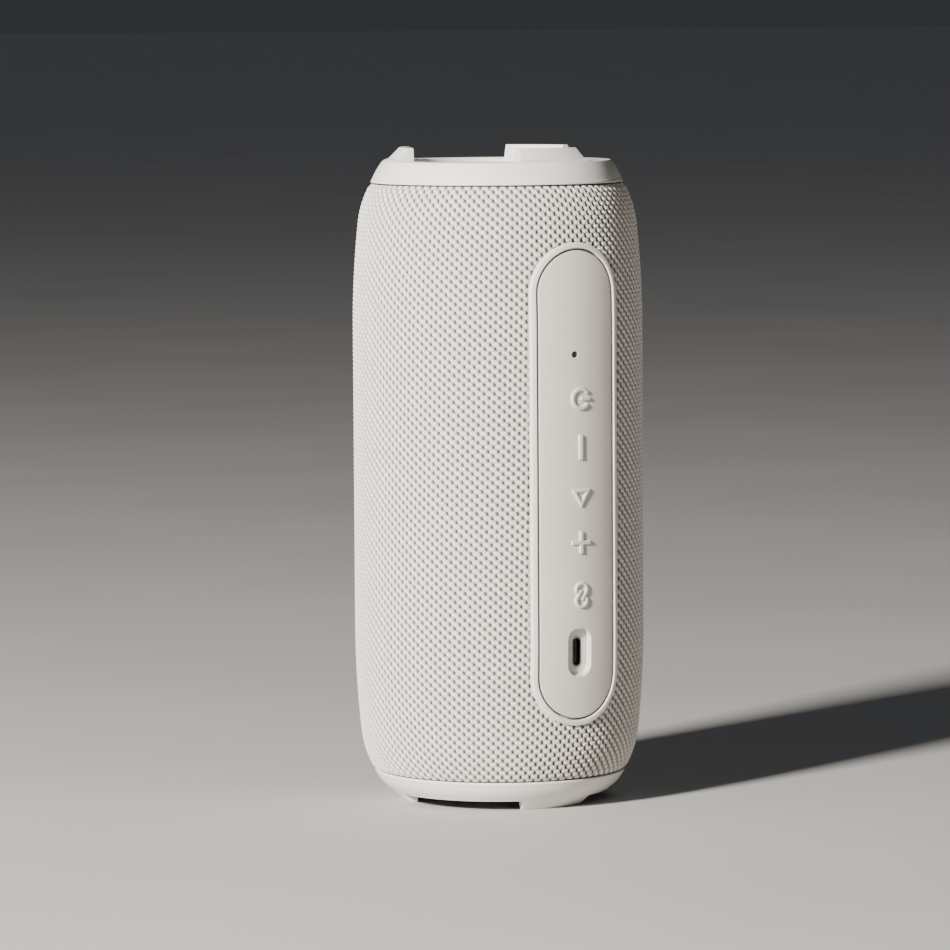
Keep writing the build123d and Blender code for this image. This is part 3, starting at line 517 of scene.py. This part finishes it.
MAGNET = metal("magnet_steel", (0.30, 0.30, 0.31), 0.45)
BOARD = circuit_board()

SLOT_MATERIALS = {
    "woven_fabric": FABRIC,
    "ring_plastic": RING,
    "bezel_plastic": BEZEL,
    "pad_silicone": PAD,
    "housing_plastic": HOUSING,
    "black_rubber": RUBBER,
    "radiator_plate": PLATE,
    "screw_steel": SCREW_STEEL,
    "port_steel": PORT_STEEL,
    "port_tongue": BLACK_PART,
    "circuit_board": BOARD,
    "switch_plastic": BLACK_PART,
    "driver_steel": COATED_STEEL,
    "magnet_steel": MAGNET,
    "cone_paper": CONE,
    "spider_cloth": SPIDER,
    "cell_wrap": CELL_WRAP,
    "lead_insulation": LEADS,
    "ribbon_film": CREAM_PART,
    "component": BLACK_PART,
}


def dress(piece, material, slot, body, *nodes):
    """Give a piece its material, fix it to its body and say which nodes it stands for; the slot is
    not used.
    """
    piece.data.materials.append(material)
    if body:
        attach(piece, body)
    if nodes:
        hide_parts(*nodes)
    return piece


def dress_cad_nodes():
    """Every CAD node that stays gets the material of its slot."""
    for row in frame["record"]["subparts"]:
        node = frame["nodes"][row["node"]]
        node.data.materials.clear()
        node.data.materials.append(SLOT_MATERIALS[row["material_slot"]])


# ---------------------------------------------------------------- woven sleeve
def stadium_distance(x, z, half_width, half_length):
    """Signed distance to an upright slot shape about the panel's centre."""
    out = np.maximum(np.abs(z - MIDDLE) - (half_length - half_width), 0)
    return np.hypot(x, out) - half_width


def weave_relief(columns, rows):
    """Height of the weave, 0 in the pinholes and 1 on the crowns of the beads."""
    column_pitch = math.tau * BARREL_RADIUS / WEAVE_COLUMNS
    shape = np.broadcast(columns, rows).shape
    nearest, pinhole = np.full(shape, np.inf), np.zeros(shape)
    for step in (-1, 0, 1, 2):
        column = np.floor(columns) + step
        across = (columns - column) * column_pitch
        bead_row = rows - 0.5 * (column % 2)
        for row in (0, 1):
            rise = (bead_row - np.floor(bead_row) - row) * WEAVE_ROW
            along_bead = across * math.cos(BEAD_TILT) - rise * math.sin(BEAD_TILT)
            over_bead = across * math.sin(BEAD_TILT) + rise * math.cos(BEAD_TILT)
            reach = np.hypot(along_bead / BEAD_HALF_LENGTH, over_bead / BEAD_HALF_WIDTH)
            nearest = np.minimum(nearest, reach)
            hole_rise = (bead_row + 0.5 - np.floor(bead_row + 0.5) - row) * WEAVE_ROW
            hole = (across / HOLE_HALF_WIDTH) ** 2 + (hole_rise / HOLE_HALF_HEIGHT) ** 2
            pinhole = np.maximum(pinhole, np.exp(-hole))
    return np.sqrt(np.clip(1 - nearest**2, 0, 1)) * (1 - pinhole)


def woven_sleeve():
    """The cloth, with its weave in the mesh, tucked in at both seams and under the band."""
    angle_count = WEAVE_COLUMNS * COLUMN_STEPS
    angles = np.arange(angle_count) * math.tau / angle_count
    low, high = LOWER_SEAM + SEAM_GAP, UPPER_SEAM - SEAM_GAP
    row_count = int((high - low) / WEAVE_ROW * ROW_STEPS)
    z = np.linspace(low, high, row_count)
    angle, height = np.meshgrid(angles, z)
    rows = (height - MIDDLE) / WEAVE_ROW
    lean = WEAVE_LEAN * (height - MIDDLE) / BARREL_RADIUS
    relief = weave_relief((angle - lean) / math.tau * WEAVE_COLUMNS, rows)
    x = barrel_radius(height) * np.cos(angle)
    facing = np.sin(angle) < 0
    gap = np.where(facing, stadium_distance(x, height, BEZEL_HALF_WIDTH, BEZEL_HALF_LENGTH), 1.0)
    tuck = TUCK_DEPTH * (1 - smoothstep(0, TUCK_WIDTH, gap))
    end_gap = np.minimum(height - low, high - height)
    tuck = np.maximum(tuck, TUCK_DEPTH * (1 - smoothstep(0, END_TUCK_WIDTH, end_gap)))
    points = on_barrel(angle, height, (relief - WEAVE_CROWN) * WEAVE_DEPTH - tuck)
    # the cloth turns in under each end ring
    hems = []
    for row, direction in ((0, -1), (-1, 1)):
        hem = points[row] * np.array([HEM_SHRINK, HEM_SHRINK, 1.0])
        hem[:, 2] += direction * HEM_TURN
        hems.append(hem)
    points = np.concatenate([hems[0][None], points, hems[1][None]])
    # the hem rows get relief 0, which paints the turn under each ring with the pinhole colour as
    # painted shade along the seam
    relief = np.concatenate([relief[:1] * 0, relief, relief[-1:] * 0])
    gap = np.concatenate([gap[:1], gap, gap[-1:]])
    outside = gap > -UNDER_BEZEL
    keep = outside[:-1] & outside[1:]
    keep = keep & np.roll(keep, -1, axis=1)
    faces = grid_faces(len(points), angle_count, wrap_columns=True, keep=keep)
    sleeve = make_mesh("woven_sleeve", points, faces, {"relief": relief})
    dress(sleeve, FABRIC, "woven_fabric", "speaker", "fabric_sleeve")


# ---------------------------------------------------------------- end rings
def ring_contours(foot, wall_middle, rim_edge, rim, lug, stepped):
    """Two contours with matching points, without and with a lug, as (radius, outward) points.

    The wall is an arc from the foot's radius through its middle point to the rim's edge, the rim
    and the lug are heights, and a stepped lug stands back from the wall.
    """
    start = np.array([foot - SEAT_WIDTH, 0.0])
    wall_start, wall_end = np.array([foot, SEAT_EDGE]), np.array([rim_edge, rim - RIM_DROP])
    pull = 2 * np.array(wall_middle) - (wall_start + wall_end) / 2
    arc = np.array(
        [
            (1 - s) ** 2 * wall_start + 2 * s * (1 - s) * pull + s**2 * wall_end
            for s in np.linspace(0, 1, ARC_POINTS)
        ]
    )
    arc[:, 0] -= LIP_STEP * smoothstep(LIP_HEIGHT - 0.1 * MM, LIP_HEIGHT + 0.1 * MM, arc[:, 1])
    lug_top = np.array([LUG_TOP, rim + lug])
    if stepped:
        lug_foot = [(rim_edge - 0.75 * MM, rim + 0.1 * MM), (LUG_FOOT, rim + 0.75 * MM)]
    else:
        lug_foot = [arc[-1] + share * (lug_top - arc[-1]) for share in (0.15, 0.4)]
    bore = [(RING_BORE, rim), (RING_BORE, -SPIGOT_DEPTH)]
    lug_bore = [(RING_BORE, rim + lug), (RING_BORE, -SPIGOT_DEPTH)]
    rim_corners = [(rim_edge - 0.55 * MM, rim), (LUG_FOOT, rim), (LUG_TOP, rim)]
    plain_corners = [arc[-1], *rim_corners, *bore]
    lug_corners = [arc[-1], *lug_foot, lug_top, *lug_bore]
    radii = (0.6 * MM, 1.0 * MM, 0.45 * MM, 0.4 * MM)
    contours = []
    for corners in (plain_corners, lug_corners):
        contours.append(np.concatenate([start[None], arc[:-1], rounded(corners, radii)]))
    return contours


def end_ring(end, seam, outward):
    """A ring that joins its two contours at each side of a lug."""
    plain, lugged = ring_contours(**RING_SHAPES[end])
    half = LUG_SWEEP / 2
    stops = np.linspace(-math.pi / 3, math.pi / 3, 61)
    steps = np.linspace(-1, 0.2, 13)
    sides = [side * (half + step * LUG_SIDE) for side in (-1, 1) for step in steps]
    local = np.unique(np.round(np.concatenate([stops[:-1], sides]), 6))
    angles = np.concatenate([local + lug_angle for lug_angle in LUG_ANGLES])
    share = np.tile(smoothstep(half, half - LUG_SIDE, np.abs(local)), len(LUG_ANGLES))
    order = np.argsort(angles % math.tau)
    angles, share = angles[order], share[order]
    contour = plain[None] + share[:, None, None] * (lugged - plain)[None]
    points = np.stack(
        [
            contour[..., 0] * np.cos(angles)[:, None],
            contour[..., 0] * np.sin(angles)[:, None],
            seam + outward * contour[..., 1],
        ],
        axis=-1,
    )
    faces = grid_faces(len(angles), len(plain), wrap_rows=True)
    if outward < 0:
        faces = faces[:, ::-1]
    ring = make_mesh(f"ring_{end}", points, faces)
    dress(ring, RING, "ring_plastic", "speaker", f"end_ring_{end}")


# ---------------------------------------------------------------- control panel
def stadium_line(half_width, half_length):
    """Points round an upright slot shape, with the outward direction at each."""
    straight = 2 * (half_length - half_width)
    length = 2 * straight + math.tau * half_width
    travel = np.arange(SLOT_POINTS) / SLOT_POINTS * length
    x, z, out = [], [], []
    for distance in travel:
        if distance < straight:
            place, direction = (half_width, -straight / 2 + distance), 0.0
        elif distance < straight + math.pi * half_width:
            direction = (distance - straight) / half_width
            turn_x, turn_z = half_width * math.cos(direction), half_width * math.sin(direction)
            place = (turn_x, straight / 2 + turn_z)
        elif distance < 2 * straight + math.pi * half_width:
            back = distance - straight - math.pi * half_width
            place, direction = (-half_width, straight / 2 - back), math.pi
        else:
            direction = math.pi + (distance - 2 * straight - math.pi * half_width) / half_width
            turn_x, turn_z = half_width * math.cos(direction), half_width * math.sin(direction)
            place = (turn_x, -straight / 2 + turn_z)
        x.append(place[0])
        z.append(place[1] + MIDDLE)
        out.append((math.cos(direction), math.sin(direction)))
    return np.array(x), np.array(z), np.array(out)


def swept_band(half_width, half_length, section):
    """Points of a section of (inward, raised) pairs carried round a slot shape on the barrel."""
    x, z, out = stadium_line(half_width, half_length)
    inward, raised = np.asarray(section, float).T
    across_x = x[:, None] - out[:, :1] * inward
    across_z = z[:, None] - out[:, 1:] * inward
    return on_panel(across_x, across_z, raised[None])


def bezel():
    """The raised band round the control panel."""
    outer_wall = [(0, -BEZEL_DEPTH), (0, BEZEL_PROUD)]
    inner_wall = [(BEZEL_BAND, BEZEL_PROUD), (BEZEL_BAND, -BEZEL_DEPTH)]
    section = rounded(outer_wall + inner_wall, (BEZEL_EDGE, BEZEL_EDGE), steps=8)
    points = swept_band(BEZEL_HALF_WIDTH, BEZEL_HALF_LENGTH, section)
    faces = grid_faces(len(points), len(section), wrap_rows=True, wrap_columns=True)
    dress(make_mesh("bezel", points, faces), BEZEL, "bezel_plastic", "speaker", "panel_bezel")


def centre_of(node):
    """Middle of a CAD node on the panel, as x and z."""
    low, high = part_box(node)
    return (low.x + high.x) / 2, (low.z + high.z) / 2


def pad_height(x, z):
    """Height of the pad's face: flat but for the port's recess and the microphone hole."""
    usb_z = centre_of("usb_shell")[1]
    recess = box_distance(x, z - usb_z, RECESS_HALF_WIDTH, RECESS_HALF_LENGTH, RECESS_CORNER)
    depth = RECESS_DEPTH * smoothstep(RECESS_LIP, -RECESS_WALL, recess)
    mic_x, mic_z = centre_of("microphone")
    mic = np.hypot(x - mic_x, z - mic_z)
    depth = np.maximum(depth, PAD_DEPTH * smoothstep(MIC_HOLE_RADIUS, MIC_FLOOR_RADIUS, mic))
    return -depth


def pad():
    """The pad's face and rim, open where the keys, the port and the microphone hole are."""
    rim_section = rounded([(0, -PAD_DEPTH), (0, 0), (PAD_RIM, 0)], (PAD_EDGE,), steps=8)
    rim_points = swept_band(PAD_HALF_WIDTH, PAD_HALF_LENGTH, rim_section)
    rim_faces = grid_faces(len(rim_points), rim_points.shape[1], wrap_rows=True)
    half_width, half_length = PAD_HALF_WIDTH - PAD_RIM, PAD_HALF_LENGTH - PAD_RIM
    centres = {button: centre_of(f"button_{button}") for button in BUTTONS}
    key_x = centres["power"][0]
    usb_z, mic_z = centre_of("usb_shell")[1], centre_of("microphone")[1]
    # the rows and columns of points are close together where the face has a hole or a recess
    x_stops = [-half_width, key_x - FLEX_HALF, -RECESS_STOP_X]
    x_stops += [RECESS_STOP_X, key_x + FLEX_HALF, half_width]
    x_lines = spaced(x_stops, [0.6 * MM, 0.4 * MM, FINE_STEP, 0.4 * MM, 0.6 * MM])
    z_stops = [MIDDLE - half_length + half_width, usb_z + RECESS_STOP_Z]
    z_steps = [FINE_STEP]
    for button in reversed(BUTTONS):
        z_stops += [centres[button][1] - FLEX_HALF, centres[button][1] + FLEX_HALF]
        z_steps += [COARSE_STEP, COARSE_STEP]
    z_stops += [mic_z - MIC_STOP, mic_z + MIC_STOP, MIDDLE + half_length - half_width]
    z_steps += [COARSE_STEP, 0.1 * MM, COARSE_STEP]
    straight_lines = spaced(z_stops, z_steps)
    turn = np.linspace(0, math.pi / 2, 60)[1:]
    upper = straight_lines[-1] + half_width * np.sin(turn)
    lower = straight_lines[0] - half_width * np.sin(turn)
    z_lines = np.concatenate([lower[::-1], straight_lines, upper])
    beyond = np.maximum(np.abs(z_lines - MIDDLE) - (half_length - half_width), 0)
    reach = np.sqrt(np.maximum(half_width**2 - beyond**2, 0)) / half_width
    x = x_lines[None] * reach[:, None]
    z = np.broadcast_to(z_lines[:, None], x.shape)
    height = pad_height(x, z)
    middle_x = (x[:-1, :-1] + x[1:, 1:]) / 2
    middle_z = (z[:-1, :-1] + z[1:, 1:]) / 2
    keep = height[:-1, :-1] > -0.98 * RECESS_DEPTH
    keep &= ~((np.abs(height[:-1, :-1]) > 0.98 * PAD_DEPTH) & (middle_z > MIDDLE))
    for centre_x, centre_z in centres.values():
        inside = np.abs(middle_x - centre_x) < FLEX_HALF
        inside &= np.abs(middle_z - centre_z) < FLEX_HALF
        keep &= ~inside
    field_points = on_panel(x, z, height)
    offset = rim_points.shape[0] * rim_points.shape[1]
    field_faces = grid_faces(*x.shape, keep=keep, offset=offset)
    points = np.concatenate([rim_points.reshape(-1, 3), field_points.reshape(-1, 3)])
    faces = np.concatenate([rim_faces, field_faces])
    dress(make_mesh("pad", points, faces), PAD, "pad_silicone", "speaker", "control_pad")


def microphone_screen():
    """Black gauze just inside the microphone hole."""
    mic_x, mic_z = centre_of("microphone")
    turn, reach = np.meshgrid(
        np.arange(48) / 48 * math.tau, np.linspace(0.02, 1, 6) * SCREEN_RADIUS, indexing="ij"
    )
    x = mic_x + reach * np.cos(turn)
    z = mic_z + reach * np.sin(turn)
    screen = make_mesh(
        "microphone_screen", on_panel(x, z, -SCREEN_DEPTH), grid_faces(*x.shape, wrap_rows=True)
    )
    dress(screen, RUBBER, "black_rubber", "speaker")


def key(button):
    """The part of the pad over a switch: a square that moves, with four strips round it."""
    centre_x, centre_z = centre_of(f"button_{button}")
    line = np.linspace(-KEY_HALF, KEY_HALF, KEY_POINTS)
    x, z = np.meshgrid(line, line)
    height = MARK_HEIGHT * smoothstep(MARK_EDGE / 2, -MARK_EDGE / 2, MARKS[button](x, z))
    points = on_panel(x + centre_x, z + centre_z, height)
    cap = make_mesh(f"key_{button}", points, grid_faces(*x.shape))
    dress(cap, PAD, "pad_silicone", f"{button}_button", f"button_{button}")
    directions = {"right": (1, 0), "upper": (0, 1), "left": (-1, 0), "lower": (0, -1)}
    reach, across = np.meshgrid(
        np.linspace(KEY_HALF, FLEX_HALF, FLEX_STEPS),
        np.linspace(-1, 1, FLEX_POINTS),
        indexing="ij",
    )
    for label, (out_x, out_z) in directions.items():
        x = centre_x + out_x * reach - out_z * across * reach
        z = centre_z + out_z * reach + out_x * across * reach
        strip = make_mesh(f"key_{button}_flex_{label}", on_panel(x, z), grid_faces(*x.shape))
        dress(strip, PAD, "pad_silicone", None)
        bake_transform(strip)


# ---------------------------------------------------------------- passive radiators
def radiator(end, seam, outward):
    """A stiff plate in a rubber half roll, which is made in sectors."""
    body = f"{end}_radiator"
    foot = -SPIGOT_DEPTH
    crown = [(0.02 * MM, 0.45 * MM), (3.0 * MM, 0.42 * MM), (8.0 * MM, 0.30 * MM)]
    groove = [(11.4 * MM, 0.10 * MM), (11.9 * MM, -0.35 * MM)]
    groove += [(12.7 * MM, -0.35 * MM), (13.2 * MM, 0.12 * MM)]
    rim = [(16.9 * MM, 0.30 * MM), (PASSIVE_PLATE_RADIUS, 0.05 * MM), (PASSIVE_PLATE_RADIUS, foot)]
    corner_radii = np.array([1.0, 1.0, 0.5, 0.2, 0.2, 0.5, 1.0, 0.3]) * MM
    contour = rounded(crown + groove + rim, corner_radii)
    contour[:, 1] = seam + outward * contour[:, 1]
    plate = spin(f"radiator_plate_{end}", contour, PLATE_SECTORS)
    dress(plate, PLATE, "radiator_plate", body, f"passive_plate_{end}")
    turn = np.linspace(math.pi, 0, ROLL_POINTS)
    roll_radius = PASSIVE_ROLL_CENTRE + PASSIVE_ROLL_RADIUS * np.cos(turn)
    roll_rise = foot + PASSIVE_ROLL_RADIUS * np.sin(turn)
    inner = (PASSIVE_PLATE_RADIUS - ROLL_OVERLAP, foot)
    outer = (RING_BORE + ROLL_OVERLAP, foot)
    line = np.array([inner, *zip(roll_radius, roll_rise), outer])
    line[:, 1] = seam + outward * line[:, 1]
    sweep = math.tau / ROLL_SECTORS
    for sector in range(ROLL_SECTORS):
        start_angle = sector * sweep
        name = f"radiator_roll_{end}_{sector:02d}"
        piece = spin(name, line, SECTOR_STEPS, start_angle, sweep)
        node = [f"passive_surround_{end}"] if sector == 0 else []
        dress(piece, RUBBER, "black_rubber", None, *node)
        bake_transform(piece)


# ---------------------------------------------------------------- stage, light and camera
def stage():
    """A plain pale floor, so wide that its far edge lies near the horizon."""
    half = FLOOR_HALF
    corners = [(-half, -half, 0), (half, -half, 0), (half, half, 0), (-half, half, 0)]
    floor = make_mesh("floor", corners, np.array([[0, 1, 2, 3]]))
    material, tree, shader = new_material("floor_paper", Roughness=0.85)
    tint = ramp(tree, noise(tree, 6.0), [(0.3, (0.47, 0.455, 0.44)), (0.7, (0.51, 0.495, 0.475))])
    tree.links.new(tint, shader.inputs["Base Color"])
    floor.data.materials.append(material)


def add_light(name, kind, position, power, colour):
    """Light that faces the middle of the object."""
    data = bpy.data.lights.new(name, kind)
    data.energy = power
    data.color = colour
    light = bpy.data.objects.new(name, data)
    bpy.context.scene.collection.objects.link(light)
    light.location = position
    aim = Vector((0, 0, MIDDLE)) - Vector(position)
    light.rotation_mode = "QUATERNION"
    light.rotation_quaternion = aim.to_track_quat("-Z", "Y")
    return light


def lights():
    """A key light from the left, a weak broad light from behind and a faint sky."""
    world = bpy.data.worlds.new("studio")
    world.use_nodes = True
    sky = world.node_tree.nodes["Background"]
    sky.inputs["Color"].default_value = SKY_COLOUR
    sky.inputs["Strength"].default_value = SKY_POWER
    bpy.context.scene.world = world
    key_light = add_light("key", "AREA", KEY_PLACE, KEY_POWER, KEY_COLOUR)
    key_light.data.size = KEY_SIZE
    back = add_light("back", "SUN", BACK_PLACE, BACK_POWER, BACK_COLOUR)
    back.data.angle = BACK_SPREAD


def camera():
    """The photograph's point of view."""
    data = bpy.data.cameras.new("camera")
    data.sensor_width = 36
    data.lens = CAMERA_LENS
    view = bpy.data.objects.new("camera", data)
    bpy.context.scene.collection.objects.link(view)
    back = Vector((math.sin(CAMERA_AZIMUTH), -math.cos(CAMERA_AZIMUTH), 0))
    left = Vector((-math.cos(CAMERA_AZIMUTH), -math.sin(CAMERA_AZIMUTH), 0))
    view.location = back * CAMERA_DISTANCE + Vector((0, 0, CAMERA_HEIGHT))
    aim = left * AIM_LEFT + Vector((0, 0, AIM_HEIGHT)) - view.location
    view.rotation_mode = "QUATERNION"
    roll = Matrix.Rotation(CAMERA_ROLL, 3, "Z").to_quaternion()
    view.rotation_quaternion = aim.to_track_quat("-Z", "Y") @ roll
    data.clip_start, data.clip_end = 0.1, 200
    bpy.context.scene.camera = view


# ---------------------------------------------------------------- the object
ENDS = {"top": (UPPER_SEAM, 1), "bottom": (LOWER_SEAM, -1)}
RING_SHAPES = {
    "top": {
        "foot": 38.3 * MM,
        "wall_middle": (37.05 * MM, 3.2 * MM),
        "rim_edge": 35.1 * MM,
        "rim": 6.8 * MM,
        "lug": 4.0 * MM,
        "stepped": True,
    },
    "bottom": {
        "foot": 38.2 * MM,
        "wall_middle": (36.6 * MM, 3.2 * MM),
        "rim_edge": 33.8 * MM,
        "rim": 6.3 * MM,
        "lug": 3.1 * MM,
        "stepped": False,
    },
}

dress_cad_nodes()
camera()
lights()
stage()
woven_sleeve()
for end, (seam, outward) in ENDS.items():
    end_ring(end, seam, outward)
    radiator(end, seam, outward)
bezel()
pad()
microphone_screen()
for button in BUTTONS:
    key(button)
